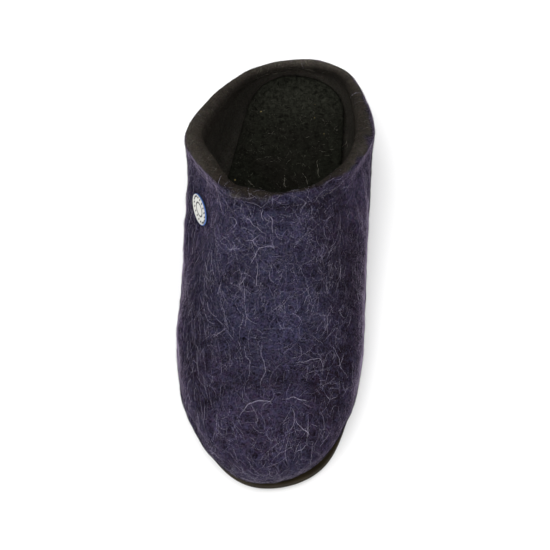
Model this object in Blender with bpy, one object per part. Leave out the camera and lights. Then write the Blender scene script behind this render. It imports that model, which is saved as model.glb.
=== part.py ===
"""House slipper for the right foot, wet-felted in one piece over a last.

Pieces: a hollow seamless felt upper with its own felt bottom, a thin outsole under it, a loose felt
insole inside it and a small oval badge on its outer side. The slipper stands on z = 0 with +Z up, its
toe towards -Y and the inner side of the foot towards +X. All sizes below are in millimetres.
"""

from collections import namedtuple
from math import cos, radians, sin

import bpy
import numpy as np
from mathutils import Quaternion, Vector
from mathutils.bvhtree import BVHTree

METRE = 0.001

# Lengths along the foot, counted from the bulge of the heel towards the toe
LENGTH = 276.5
SOLE_START = 3.5
SOLE_LENGTH = 271.5
SPRING_START = 193.0

# Heights and thicknesses
TOE_SPRING = 4.6
SOLE_THICK = 6.0
FELT_BOTTOM = 6.0
INSOLE_THICK = 5.0
RIM_RISE = 3.0
GAP = 0.3

# Insets from the sole outline, at the heel and at the toe, and the rounding of edges
FELT_EDGE_INSET = (1.5, 3.0)
FLOOR_EDGE_INSET = (3.5, 9.5)
INSOLE_INSET = (3.9, 9.9)
SOLE_ROUND = 1.0
INSOLE_ROUND = 1.2

# Badge: its place on the outer side of the upper, its size, and its turn in degrees, toe end higher
BADGE_ALONG = 127.5
BADGE_UP = 56.4
BADGE_LENGTH = 22.6
BADGE_HEIGHT = 9.6
BADGE_THICK = 1.8
BADGE_ROUND = 0.7
BADGE_TURN = 7.0

# Corners sharper than this, in degrees, show as edges
EDGE_ANGLE = 35.0

# Mesh density: ribs round the last, and rows on each stretch of a rib
RIB_COUNT = 80
OUTLINE_COUNT = 400
LOW_ROWS = 5
WALL_ROWS = 13
RIM_ROWS = 5
BADGE_SIDES = 28

Rib = namedtuple("Rib", "name side share sole girth girth_up collar_at collar collar_up rise flare reach wall")

# One row for each rib of the last, round the foot from the back of the heel, inner side first.
# side: 1 on the inner side of the foot, -1 on the outer side
# share: how far along the length the rib stands
# sole, girth, collar: distances across from the heel-to-toe line of the sole outline, the widest line of
#   the felt and the collar edge
# girth_up, collar_up: heights of those lines; collar_at: where the rib meets the collar, along the foot
# rise, reach: how far the wall runs straight on above the girth and below the collar
# flare: lean of the wall at the collar in degrees, outwards from the foot counted positive
# wall: thickness of the felt
RIBS = (
    Rib("heel back", 1, 0.00, 0.0, 0.0, 21, 9.5, 0.0, 41.5, 10, -22, 10, 5.5),
    Rib("inner heel", 1, 0.05, 30.5, 30.5, 24, 18.5, 29.5, 45.0, 10, -8, 10, 5.5),
    Rib("inner quarter", 1, 0.15, 35.0, 43.5, 32, 41.5, 41.5, 52.5, 10, 2, 10, 7.5),
    Rib("inner ankle", 1, 0.28, 36.0, 47.0, 40, 70.0, 48.0, 64.0, 10, 8, 10, 10.0),
    Rib("inner arch", 1, 0.42, 38.5, 47.2, 40, 87.0, 46.5, 70.5, 12, 3, 12, 10.0),
    Rib("inner waist", 1, 0.58, 43.5, 47.8, 31, 108.0, 37.5, 78.0, 20, -4, 22, 8.0),
    Rib("inner ball", 1, 0.72, 45.5, 47.8, 25, 120.0, 27.0, 82.5, 29, -21, 37, 6.5),
    Rib("inner toes", 1, 0.85, 39.8, 42.0, 21, 129.0, 15.0, 85.5, 34, -38, 52, 6.0),
    Rib("great toe", 1, 0.95, 27.6, 26.2, 19, 133.0, 4.0, 87.0, 36, -43, 60, 6.0),
    Rib("toe tip", 1, 1.00, -4.0, -4.0, 19, 134.0, -6.0, 87.0, 36, -45, 62, 6.0),
    Rib("small toes", -1, 0.95, -30.8, -33.2, 19, 133.5, -16.0, 86.0, 35, -43, 60, 6.0),
    Rib("outer toes", -1, 0.85, -46.6, -50.6, 21, 131.5, -26.0, 84.0, 32, -38, 52, 6.0),
    Rib("outer ball", -1, 0.72, -53.5, -58.4, 25, 125.0, -36.5, 79.5, 28, -17, 38, 6.5),
    Rib("outer waist", -1, 0.58, -53.0, -59.0, 31, 112.0, -47.5, 73.0, 18, 2, 26, 9.0),
    Rib("outer arch", -1, 0.42, -49.0, -59.0, 40, 97.0, -57.2, 66.0, 14, 3, 14, 10.5),
    Rib("outer ankle", -1, 0.28, -43.5, -59.0, 39, 81.0, -62.0, 60.5, 10, 9, 10, 10.5),
    Rib("outer quarter", -1, 0.15, -37.0, -47.5, 32, 54.0, -54.0, 52.0, 10, 4, 10, 8.0),
    Rib("outer heel", -1, 0.05, -29.0, -30.0, 24, 25.0, -33.5, 45.0, 10, -8, 10, 5.5),
)


def column(name):
    """One named column of the rib table as an array."""
    return np.array([getattr(rib, name) for rib in RIBS], dtype=float)


def turn_of(share, side):
    """Angle round the last of a point at this share of the length: 0 at the heel, half a turn at the toe."""
    turn = np.arccos(np.clip(1 - 2 * share, -1, 1))
    return np.where(side < 0, 2 * np.pi - turn, turn)


def closed_spline(knots, values, at):
    """Smooth closed curve through values at the knot angles: cubic pieces with equal bends where they meet."""
    count = len(knots)
    step = np.diff(np.append(knots, knots[0] + 2 * np.pi))
    here = np.arange(count)
    after = (here + 1) % count
    slope = (values[after] - values) / step
    system = np.zeros((count, count))
    system[here, here - 1] = step[here - 1] / 6
    system[here, here] = (step[here - 1] + step) / 3
    system[here, after] = step / 6
    bend = np.linalg.solve(system, slope - slope[here - 1])
    piece = np.searchsorted(knots, at, side="right") - 1
    width = step[piece]
    right = (at - knots[piece]) / width
    left = 1 - right
    ends = left * values[piece] + right * values[after[piece]]
    curve = (left ** 3 - left) * bend[piece] + (right ** 3 - right) * bend[after[piece]]
    return ends + curve * width ** 2 / 6


def round_the_last(name, angles):
    """A column of the rib table, carried smoothly all the way round the last."""
    return closed_spline(turn_of(column("share"), column("side")), column(name), angles)


def even_angles(count):
    """Equal steps of angle all round the last."""
    return 2 * np.pi * np.arange(count) / count


def share_of(angles):
    """Share of the length at each angle, the same on the inner and the outer side."""
    return (1 - np.cos(angles)) / 2


def outward(loop):
    """Level normals of a closed loop, pointing away from the foot."""
    along = np.roll(loop, -1, axis=0) - np.roll(loop, 1, axis=0)
    normal = np.stack([-along[:, 1], along[:, 0]], axis=1)
    return normal / np.linalg.norm(normal, axis=1, keepdims=True)


def place(across, along, up):
    """Points from their distance across, their distance from the heel and their height."""
    return np.stack([across, LENGTH / 2 - along, up + 0 * across], axis=1)


def sole_outline(inset):
    """Sole outline moved inwards by an inset that runs evenly from heel to toe.

    Its points are spread again, so that one on the inner and one on the outer side stand at equal
    distances from the heel. Returns the distances across and along.
    """
    angles = even_angles(OUTLINE_COUNT)
    share = share_of(angles)
    edge = np.stack([round_the_last("sole", angles), -(SOLE_START + SOLE_LENGTH * share)], axis=1)
    edge = edge - (inset[0] + (inset[1] - inset[0]) * share)[:, None] * outward(edge)
    along = -edge[:, 1]
    first, last = along[0], along[OUTLINE_COUNT // 2]
    turn = turn_of((along - first) / (last - first), np.where(angles > np.pi, -1, 1))
    ribs = even_angles(RIB_COUNT)
    across = np.interp(ribs, np.append(turn, 2 * np.pi), np.append(edge[:, 0], edge[0, 0]))
    return across, first + (last - first) * share_of(ribs)


def ground(along):
    """Height of the underside: flat from heel to ball, then a parabola up to the toe spring."""
    rise = np.clip((along - SPRING_START) / (LENGTH - SPRING_START), 0, None)
    return TOE_SPRING * rise ** 2


def sole_ring(inset, height):
    """Ring of points along an inset of the sole outline, at a height above the underside."""
    across, along = sole_outline(inset)
    return place(across, along, ground(along) + height)


def bowl(edge, girth, rows):
    """Quarter ellipse on each rib from a level start at the edge to an upright end at the girth."""
    turn = np.linspace(0, np.pi / 2, rows)[:, None, None]
    level = edge + (girth - edge) * np.sin(turn)
    rising = edge + (girth - edge) * (1 - np.cos(turn))
    return np.concatenate([level[..., :2], rising[..., 2:]], axis=2)


def wall_rows():
    """Outside of the upper from girth to collar, with its normals, the lean of the collar and the wall.

    Each rib is a cubic curve that leaves the girth straight up and meets the collar at its flare.
    """
    angles = even_angles(RIB_COUNT)
    girth = place(round_the_last("girth", angles), LENGTH * share_of(angles), round_the_last("girth_up", angles))
    collar = place(*(round_the_last(name, angles) for name in ("collar", "collar_at", "collar_up")))
    flare = np.radians(round_the_last("flare", angles))[:, None]
    away = np.pad(outward(collar[:, :2]), ((0, 0), (0, 1)))
    upright = np.array([0.0, 0.0, 1.0])
    lean = away * np.sin(flare) + upright * np.cos(flare)
    above = girth + upright * round_the_last("rise", angles)[:, None]
    below = collar - lean * round_the_last("reach", angles)[:, None]
    t = np.linspace(0, 1, WALL_ROWS)[:, None, None]
    rows = (1 - t) ** 3 * girth + 3 * (1 - t) ** 2 * t * above + 3 * (1 - t) * t ** 2 * below + t ** 3 * collar
    round_way = np.roll(rows, -1, axis=1) - np.roll(rows, 1, axis=1)
    up_way = np.gradient(rows, axis=0, edge_order=2)
    normal = np.cross(up_way, round_way)
    normal /= np.linalg.norm(normal, axis=2, keepdims=True)
    return rows, normal, lean, round_the_last("wall", angles)[:, None]


def rim_rows(collar, normal, lean, wall):
    """Half ellipse over the collar, from the outside of the wall to its inside."""
    turn = np.linspace(0, np.pi, RIM_ROWS)[1:-1, None, None]
    return collar - normal * wall / 2 * (1 - np.cos(turn)) + lean * RIM_RISE * np.sin(turn)


def upper_rings():
    """Rings of the upper: felt bottom, outside wall, rim, inside wall and inside floor."""
    rows, normal, lean, wall = wall_rows()
    inside = rows - normal * wall
    underside = SOLE_THICK + GAP
    outer_low = bowl(sole_ring(FELT_EDGE_INSET, underside), rows[0], LOW_ROWS)
    inner_low = bowl(sole_ring(FLOOR_EDGE_INSET, underside + FELT_BOTTOM), inside[0], LOW_ROWS)
    rim = rim_rows(rows[-1], normal[-1], lean, wall)
    return np.concatenate([outer_low, rows[1:], rim, inside[:0:-1], inner_low[::-1]])


def slab_rings(inset, low, high, rounding):
    """Rings of a slab that follows the underside, with its lower and upper edges eased."""
    eased = (inset[0] + rounding, inset[1] + rounding)
    return np.stack([
        sole_ring(eased, low),
        sole_ring(inset, low + rounding),
        sole_ring(inset, high - rounding),
        sole_ring(eased, high),
    ])


def strip_faces(ring_count, side_count):
    """Four-sided faces between neighbouring rings."""
    ring, side = np.meshgrid(np.arange(ring_count - 1), np.arange(side_count), indexing="ij")
    here = ring * side_count + side
    after = ring * side_count + (side + 1) % side_count
    return np.stack([here, here + side_count, after + side_count, after], axis=2).reshape(-1, 4)


def ladder_faces(start, side_count):
    """Cap of a ring, as rungs from the inner side straight across to the outer side, facing down."""
    half = side_count // 2
    rung = np.arange(1, half - 1)
    rungs = start + np.stack([rung, rung + 1, side_count - rung - 1, side_count - rung], axis=1)
    ends = [[start, start + 1, start + side_count - 1], [start + half - 1, start + half, start + half + 1]]
    return rungs.tolist() + ends


def foot_shaped(rings):
    """Points and faces of a closed body from its rings, capped by rungs at the first and the last ring."""
    ring_count, side_count = rings.shape[:2]
    top = ladder_faces((ring_count - 1) * side_count, side_count)
    faces = strip_faces(ring_count, side_count).tolist() + ladder_faces(0, side_count)
    faces += [face[::-1] for face in top]
    return rings.reshape(-1, 3), faces


def badge_body(upper_points, upper_faces):
    """Oval badge whose back follows the outside of the upper, a gap away from it."""
    felt = BVHTree.FromPolygons(upper_points.tolist(), upper_faces)
    start = Vector((-LENGTH, LENGTH / 2 - BADGE_ALONG, BADGE_UP))
    centre, axis = felt.ray_cast(start, Vector((1, 0, 0)))[:2]
    level = axis.cross(Vector((0, 0, 1))).normalized()
    lengthways = Quaternion(axis, radians(BADGE_TURN)) @ level
    upwards = lengthways.cross(axis)

    def on_felt(share, inset, turn):
        """Point of the felt under a share of the way from the middle to an inset of the oval, at a turn."""
        length = share * (BADGE_LENGTH / 2 - inset) * cos(turn)
        height = share * (BADGE_HEIGHT / 2 - inset) * sin(turn)
        spot = centre + length * lengthways + height * upwards
        return felt.ray_cast(spot + axis * BADGE_LENGTH, -axis)[0]

    # Share of the way out, inset and height of each ring, from the back over the edge to the front
    profile = [
        (0.5, BADGE_ROUND, 0),
        (1, BADGE_ROUND, 0),
        (1, 0, BADGE_ROUND),
        (1, 0, BADGE_THICK - BADGE_ROUND),
        (1, BADGE_ROUND, BADGE_THICK),
        (0.5, BADGE_ROUND, BADGE_THICK),
    ]
    turns = even_angles(BADGE_SIDES)
    points = [on_felt(share, inset, turn) + axis * (GAP + up) for share, inset, up in profile for turn in turns]
    back, front = len(points), len(points) + 1
    middle = on_felt(0, 0, 0) + axis * GAP
    points += [middle, middle + axis * BADGE_THICK]
    faces = strip_faces(len(profile), BADGE_SIDES).tolist()
    last = (len(profile) - 1) * BADGE_SIDES
    for side in range(BADGE_SIDES):
        after = (side + 1) % BADGE_SIDES
        faces += [[back, side, after], [front, last + after, last + side]]
    return np.array(points), faces


def linear(hex_colour):
    """Linear colour from an sRGB hex value."""
    srgb = np.array([int(hex_colour[i:i + 2], 16) for i in (1, 3, 5)]) / 255
    return (*np.where(srgb <= 0.04045, srgb / 12.92, ((srgb + 0.055) / 1.055) ** 2.4), 1.0)


def add_piece(name, points, faces, hex_colour, roughness):
    """One named object with its own material, smooth apart from its real edges."""
    mesh = bpy.data.meshes.new(name)
    mesh.from_pydata((points * METRE).tolist(), [], faces)
    mesh.validate()
    mesh.shade_smooth()
    mesh.set_sharp_from_angle(angle=radians(EDGE_ANGLE))
    material = bpy.data.materials.new(name)
    material.use_nodes = True
    shader = material.node_tree.nodes["Principled BSDF"]
    shader.inputs["Base Color"].default_value = linear(hex_colour)
    shader.inputs["Roughness"].default_value = roughness
    shader.inputs["Metallic"].default_value = 0.0
    mesh.materials.append(material)
    piece = bpy.data.objects.new(name, mesh)
    bpy.context.collection.objects.link(piece)


def main():
    """Clear the scene and build the slipper, centred over the origin."""
    for item in list(bpy.data.objects):
        bpy.data.objects.remove(item)

    upper, upper_faces = foot_shaped(upper_rings())
    middle = (upper.min(axis=0) + upper.max(axis=0)) / 2 * np.array([1, 1, 0])
    outsole, outsole_faces = foot_shaped(slab_rings((0.0, 0.0), 0.0, SOLE_THICK, SOLE_ROUND))
    insole_low = SOLE_THICK + FELT_BOTTOM + 2 * GAP
    insole_rings = slab_rings(INSOLE_INSET, insole_low, insole_low + INSOLE_THICK, INSOLE_ROUND)
    insole, insole_faces = foot_shaped(insole_rings)
    badge, badge_faces = badge_body(upper, upper_faces)

    add_piece("outsole", outsole - middle, outsole_faces, "#262319", 0.75)
    add_piece("upper", upper - middle, upper_faces, "#383648", 0.95)
    add_piece("insole", insole - middle, insole_faces, "#1e1e1a", 0.95)
    add_piece("badge", badge - middle, badge_faces, "#e4e4e2", 0.40)


main()
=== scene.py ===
"""House slipper for the right foot, wet-felted in one piece, dressed and lit for a studio picture.

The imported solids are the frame. The felt upper is worked out again from the same ribs of the last on a finer
grid, with its creases and lumps pressed in, and loose wool hairs are laid over it. Insole, outsole and badge
are worked out again in the same way. Sizes are in millimetres in the slipper's own frame: toe towards -Y,
inner side of the foot towards +X, +Z up. They become metres when a mesh is made. Angles round the last are
in radians, from the heel along the inner side to the toe at half a turn, and back along the outer side.
"""

from collections import namedtuple

import bmesh
import bpy
import numpy as np
from mathutils import Matrix, Vector


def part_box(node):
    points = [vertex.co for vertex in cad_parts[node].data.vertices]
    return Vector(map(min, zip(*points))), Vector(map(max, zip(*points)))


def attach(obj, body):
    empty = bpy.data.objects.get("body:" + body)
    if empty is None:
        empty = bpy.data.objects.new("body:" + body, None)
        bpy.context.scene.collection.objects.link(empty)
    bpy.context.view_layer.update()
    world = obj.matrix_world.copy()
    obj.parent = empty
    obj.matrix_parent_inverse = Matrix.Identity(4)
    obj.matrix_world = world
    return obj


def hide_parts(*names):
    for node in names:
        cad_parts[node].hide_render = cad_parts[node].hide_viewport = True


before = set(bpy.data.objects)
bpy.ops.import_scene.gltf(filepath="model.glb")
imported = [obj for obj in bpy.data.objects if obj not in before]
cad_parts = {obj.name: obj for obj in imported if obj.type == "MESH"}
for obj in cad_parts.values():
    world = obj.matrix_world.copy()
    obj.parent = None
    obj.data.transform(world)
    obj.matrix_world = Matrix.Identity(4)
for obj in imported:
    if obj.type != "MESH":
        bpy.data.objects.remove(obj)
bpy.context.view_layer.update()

METRE = 0.001

# Lengths along the foot, counted from the bulge of the heel towards the toe
LENGTH = 276.5
SOLE_START = 3.5
SOLE_LENGTH = 271.5
SPRING_START = 193.0

# Heights and thicknesses
TOE_SPRING = 4.6
SOLE_THICK = 6.0
FELT_BOTTOM = 6.0
INSOLE_THICK = 5.0
RIM_RISE = 3.0
GAP = 0.3

# Insets from the sole outline, at the heel and at the toe, and the rounding of edges
FELT_EDGE_INSET = (1.5, 3.0)
FLOOR_EDGE_INSET = (3.5, 9.5)
INSOLE_INSET = (3.9, 9.9)
SOLE_ROUND = 1.0
INSOLE_ROUND = 1.6

# The loose insole curls up against the back of the heel: by how much, and between which places along
HEEL_CURL = 5.0
HEEL_CURL_START = 30.0
HEEL_CURL_END = 6.0

# Badge: its place on the outer side of the upper, its size, its turn in degrees, toe end higher, how far
# round its middle the felt counts for its seat, and the share of its oval that stands for well clear of it
BADGE_ALONG = 127.5
BADGE_UP = 56.4
BADGE_LENGTH = 22.6
BADGE_HEIGHT = 9.6
BADGE_TURN = 7.0
BADGE_SEAT_REACH = 0.7 * BADGE_LENGTH
CLEAR_OF_BADGE = 9.0

# Rings of the badge from the middle of its back over its edge to the middle of its face: share of the way
# out, inset from the oval edge, height above the felt, and the enamel of the band up to the next ring. The
# dark bands up the edge are painted shadow, the dark ring on the face is print.
WHITE, BLUE, DARK_PRINT_AND_SHADE = range(3)
BADGE_RINGS = (
    (0.0, 0.7, 0.0, WHITE), (0.5, 0.7, 0.0, WHITE), (1, 0.7, 0.0, DARK_PRINT_AND_SHADE), (1, 0.2, 0.2, DARK_PRINT_AND_SHADE),
    (1, 0.0, 0.7, DARK_PRINT_AND_SHADE), (1, 0.0, 1.2, BLUE), (1, 0.2, 1.6, BLUE), (1, 0.5, 1.8, WHITE),
    (1, 0.7, 1.7, WHITE), (1, 0.9, 1.5, WHITE), (1, 1.1, 1.45, WHITE), (0.56, 1.1, 1.6, DARK_PRINT_AND_SHADE),
    (0.53, 1.1, 1.5, DARK_PRINT_AND_SHADE), (0.47, 1.1, 1.5, DARK_PRINT_AND_SHADE), (0.44, 1.1, 1.62, WHITE), (0.25, 1.1, 1.66, WHITE),
    (0.0, 1.1, 1.67, WHITE),
)

# Low round dots in a ring on the badge: their number, inset from the edge, radius, foot and rise
DOT_COUNT = 18
DOT_INSET = 1.75
DOT_RADIUS = 0.75
DOT_FOOT = 1.38
DOT_RISE = 0.3

# Mesh density: ribs round the last, rows on each stretch of a rib, sides and rows of the small pieces, waves
# in each kind of lumps, and the distance within which points are welded
RIB_COUNT = 440
SLAB_RIBS = 240
OUTLINE_COUNT = 800
LOW_ROWS = 12
WALL_ROWS = 73
RIM_ROWS = 15
SLAB_ROWS = 26
EDGE_ROWS = 5
INSOLE_TOP_ROWS = 40
BADGE_SIDES = 96
DOT_SIDES = 10
DOT_ROWS = 4
LUMP_WAVES = 18
WELD = 0.01

Rib = namedtuple("Rib", (
    "name side share sole girth girth_up collar_at collar collar_up rise flare reach wall"))

# One row for each rib of the last, round the foot from the back of the heel, inner side first.
# side: 1 on the inner side of the foot, -1 on the outer side
# share: how far along the length the rib stands
# sole, girth, collar: distances across from the heel-to-toe line of the sole outline, the widest line of
#   the felt and the collar edge
# girth_up, collar_up: heights of those lines; collar_at: where the rib meets the collar, along the foot
# rise, reach: how far the wall runs straight on above the girth and below the collar
# flare: lean of the wall at the collar in degrees, outwards from the foot counted positive
# wall: thickness of the felt
RIBS = (
    Rib("heel back", 1, 0.00, 0.0, 0.0, 21, 9.5, 0.0, 41.5, 10, -22, 10, 5.5),
    Rib("inner heel", 1, 0.05, 30.5, 30.5, 24, 18.5, 29.5, 45.0, 10, -8, 10, 5.5),
    Rib("inner quarter", 1, 0.15, 35.0, 43.5, 32, 41.5, 41.5, 52.5, 10, 2, 10, 7.5),
    Rib("inner ankle", 1, 0.28, 36.0, 47.0, 40, 70.0, 48.0, 64.0, 10, 8, 10, 10.0),
    Rib("inner arch", 1, 0.42, 38.5, 47.2, 40, 87.0, 46.5, 70.5, 12, 3, 12, 10.0),
    Rib("inner waist", 1, 0.58, 43.5, 47.8, 31, 108.0, 37.5, 78.0, 20, -4, 22, 8.0),
    Rib("inner ball", 1, 0.72, 45.5, 47.8, 25, 120.0, 27.0, 82.5, 29, -21, 37, 6.5),
    Rib("inner toes", 1, 0.85, 39.8, 42.0, 21, 129.0, 15.0, 85.5, 34, -38, 52, 6.0),
    Rib("great toe", 1, 0.95, 27.6, 26.2, 19, 133.0, 4.0, 87.0, 36, -43, 60, 6.0),
    Rib("toe tip", 1, 1.00, -4.0, -4.0, 19, 134.0, -6.0, 87.0, 36, -45, 62, 6.0),
    Rib("small toes", -1, 0.95, -30.8, -33.2, 19, 133.5, -16.0, 86.0, 35, -43, 60, 6.0),
    Rib("outer toes", -1, 0.85, -46.6, -50.6, 21, 131.5, -26.0, 84.0, 32, -38, 52, 6.0),
    Rib("outer ball", -1, 0.72, -53.5, -58.4, 25, 125.0, -36.5, 79.5, 28, -17, 38, 6.5),
    Rib("outer waist", -1, 0.58, -53.0, -59.0, 31, 112.0, -47.5, 73.0, 18, 2, 26, 9.0),
    Rib("outer arch", -1, 0.42, -49.0, -59.0, 40, 97.0, -57.2, 66.0, 14, 3, 14, 10.5),
    Rib("outer ankle", -1, 0.28, -43.5, -59.0, 39, 81.0, -62.0, 60.5, 10, 9, 10, 10.5),
    Rib("outer quarter", -1, 0.15, -37.0, -47.5, 32, 54.0, -54.0, 52.0, 10, 4, 10, 8.0),
    Rib("outer heel", -1, 0.05, -29.0, -30.0, 24, 25.0, -33.5, 45.0, 10, -8, 10, 5.5),
)

Crease = namedtuple("Crease", "name depth width line")

# Soft creases of the vamp. depth: pressed in, or raised where negative; width: half width of the trough;
# line: places on the upper as pairs of along and across
CREASES = (
    Crease("toe bend", 1.2, 6.0, ((246, -46), (237, -34), (230, -18), (228, 0), (229, 15), (234, 30))),
    Crease("toe roll", -0.8, 9.0, ((252, -38), (243, -26), (239, -10), (238, 4), (240, 18), (247, 28))),
    Crease("ball bend", 0.7, 7.0, ((208, -50), (204, -34), (206, -16))),
    Crease("instep dip", 0.8, 9.0, ((172, -30), (166, -12), (163, 6), (168, 24))),
    Crease("inner waist fold", 0.9, 6.0, ((140, 38), (152, 42), (168, 46))),
    Crease("outer waist fold", 0.8, 7.0, ((150, -50), (164, -56), (182, -60))),
)

# Trough that runs under the collar at the front: how far below the edge, its half width, its depth, how far
# round it goes, and how far the band between it and the edge stands up
COLLAR_TROUGH_DOWN = 7.0
COLLAR_TROUGH_WIDTH = 2.8
COLLAR_TROUGH_DEPTH = 1.4
COLLAR_TROUGH_SPREAD = 1.0
COLLAR_BAND_RISE = 0.5

# Painted shade along the bottom of that trough: its half width, and how far round it goes
COLLAR_LINE_WIDTH = 1.4
COLLAR_LINE_SPREAD = 0.5

# The rim lies flatter in the middle of its front: by how much, and how far round
RIM_FLAT = 1.9
RIM_FLAT_SPREAD = 0.5

# At the inner side of the toe the felt is drawn in above the sole: by how much, where round the last and how
# far, how far up from the bottom edge and how far from there, and over what length it starts
TOE_TUCK = 1.8
TOE_TUCK_TURN = 2.6
TOE_TUCK_SPREAD = 0.5
TOE_TUCK_UP = 5.4
TOE_TUCK_WIDTH = 9.0
TOE_TUCK_START = 3.0

# The felt is pressed flat under the badge and round it, out to this share of its oval, with a shallow ring
# pressed in: its depth, and its place and half width as shares too
BADGE_PRESS = 1.25
BADGE_RING_DEPTH = 0.5
BADGE_RING_AT = 1.12
BADGE_RING_WIDTH = 0.12

Lumps = namedtuple("Lumps", "height size seed")

# Lumps of the felt and of the insole, how far the insole's top sinks under its own, and how the edge between
# the two layers of felt wanders, in rows. The waves of each kind are between two shares of its size.
BROAD_LUMPS = (Lumps(0.24, 30, 1),)
FINE_LUMPS = (Lumps(0.16, 13, 2), Lumps(0.08, 5.5, 3))
INSOLE_LUMPS = (Lumps(0.3, 12, 31), Lumps(0.15, 4.5, 32))
INSOLE_SINK = 0.3
EDGE_WANDER = (Lumps(0.8, 14, 21), Lumps(0.5, 5, 22))
WAVE_SHARES = (0.7, 1.5)

# Relief dies away over this length at the bottom edges, and fine lumps lose this share in the last rows
# before the rim
BOTTOM_FADE = 9.0
FINE_LUMPS_LOST = 0.7
FINE_FADE_ROWS = 6

Batt = namedtuple("Batt", "name along across radius plum light")

# Batts of dyed wool that colour the felt: their places on the upper, their size, and how much plum and how
# much lighter blue wool each brings
BATTS = (
    Batt("toe cap", 256, -8, 26, 0.9, 0.1),
    Batt("outer toes", 228, -42, 22, 0.6, -0.1),
    Batt("inner toes", 235, 26, 18, 0.3, 0.1),
    Batt("middle of the vamp", 180, -2, 30, -0.3, 0.38),
    Batt("under the collar", 145, -8, 18, -0.2, 0.12),
    Batt("beside the badge", 152, -38, 20, 0.1, 0.3),
    Batt("inner instep", 150, 38, 24, 0.5, 0.0),
    Batt("inner quarter", 108, 44, 24, 0.2, 0.4),
    Batt("back of the heel", 6, 6, 42, 0.0, 0.8),
    Batt("outer side of the collar", 75, -62, 24, 0.0, 0.3),
)

# Edge between the layers of felt: it runs along the start of the rim and bends away from it by so many rows,
# at this angle and so far round. The layers blend over a few rows before and after it.
BORDER_BENDS = ((2.5, 2.85, 0.4), (-1.2, 3.7, 0.5), (3.6, 2.1, 0.6), (4.5, 1.05, 0.5))
BORDER_BEFORE = 1.5
BORDER_AFTER = 2.5

# Places on the felt, each by the limits between which it starts: the two sides of the foot by their distance
# from the middle line, the flanks by how far they face sideways, the front of the toe by its distance from
# the slipper's middle, the deep inside by its depth below the rim, the front of the rim by its angle from
# the toe, and the inside wall by rows from the end of the rim
INNER_SIDE = (15, 40)
OUTER_SIDE = (25, 50)
FLANK = (0.45, 0.9)
TOE_FRONT = (60, 110)
DEEP_INSIDE = (3, 24)
RIM_FRONT = (1.1, 1.7)
INSIDE_WALL = (-4, 3)

# Bands of rows: the low edge of the felt and its half width, and the half width of the band under the rim
LOW_EDGE_ROW = 9
LOW_EDGE_ROWS = 6
UNDER_RIM_ROWS = 5

# Inside wall at the instep and at the heel, lifted with painted light: its angle and how far round
INSTEP_WALL_TURN = 1.6
INSTEP_WALL_SPREAD = 0.35
HEEL_WALL_SPREAD = 0.4

# Share of plum wool on top of the foot, and what the two sides add: there the darker plum tint is partly real
# plum and partly painted shade
PLUM_ON_TOP = 0.15
PLUM_INNER_SIDE = 0.6
PLUM_OUTER_SIDE = 0.4

# How pale the outer layer is on top of the foot, and what each place or each millimetre of relief adds:
# painted shade in dips and painted highlight on lumps, painted shade on the sides and painted highlight on
# their flanks
LIGHT_ON_TOP = 0.3
LIGHT_RELIEF = 0.25
RELIEF_LIMITS = (-2, 0.8)
LIGHT_INNER_SIDE = -0.3
LIGHT_OUTER_SIDE = -0.25
LIGHT_INNER_FLANK = 0.35
LIGHT_OUTER_FLANK = 0.5
LIGHT_COLLAR_LINE = -0.8
LIGHT_LOW_EDGE = 0.9

# Painted light on the inner layer: at the outer edge of the rim, just under the rim, deep inside where the
# batts lie and on walls inside
LIGHT_RIM = 0.6
LIGHT_UNDER_RIM = 0.2
LIGHT_DEEP_BATTS = 0.6
LIGHT_INSIDE_WALLS = 0.25

# The insole is painted lighter towards its heel end, as painted light: by these shares, each between two
# distances from the middle
INSOLE_HEEL_LIGHT = ((0.25, 40, 105), (0.75, 90, 120))

# How far the felt faces the lights, which paints light and shade on loose hairs and pale lines: from none to
# full as the felt faces up by these amounts. Felt that faces forwards or the outer side also counts as facing
# them, by these shares: forwards, forwards where it is upright, outwards, and what the toe adds to that
# between two distances from the middle
LIT_LIMITS = (0.75, 1.15)
LIT_FORWARD = 0.8
LIT_UPRIGHT = 1.2
LIT_OUTWARD = 0.2
LIT_TOE = 0.15
LIT_TOE_FRONT = (50, 100)

# Hairs that lie clear on top of the vamp, as pairs of along and across from root to tip
CLEAR_HAIRS = (
    ((249, -19), (242, -14), (240, -5), (242, -1)),
    ((239, 4), (237, 10), (238, 15), (238, 19)),
    ((247, 12), (251, 14), (253, 18), (255, 20)),
    ((264, 13), (262, 16), (259, 20)),
    ((218, 10), (216, 17), (214, 21), (215, 26)),
    ((166, -19), (162, -16), (159, -15), (157, -11), (157, -4)),
    ((142, -22), (146, -18), (151, -10)),
    ((139, -13), (142, -13), (145, -12)),
    ((177, -24), (174, -22), (172, -20)),
    ((164, -14), (175, -14), (177, -15)),
    ((141, -10), (145, -7), (152, -7)),
)

# Fainter hairs on the vamp, given in the same way
FAINT_HAIRS = (
    ((207, -11), (217, -8), (222, -6), (226, -7), (230, -9)),
    ((207, -18), (214, -18), (219, -15), (229, -15)),
    ((205, 29), (210, 33), (218, 36)),
    ((148, -39), (157, -30), (156, -22)),
    ((153, -23), (154, -18), (158, -13)),
    ((147, -30), (144, -27), (140, -32)),
)

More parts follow.
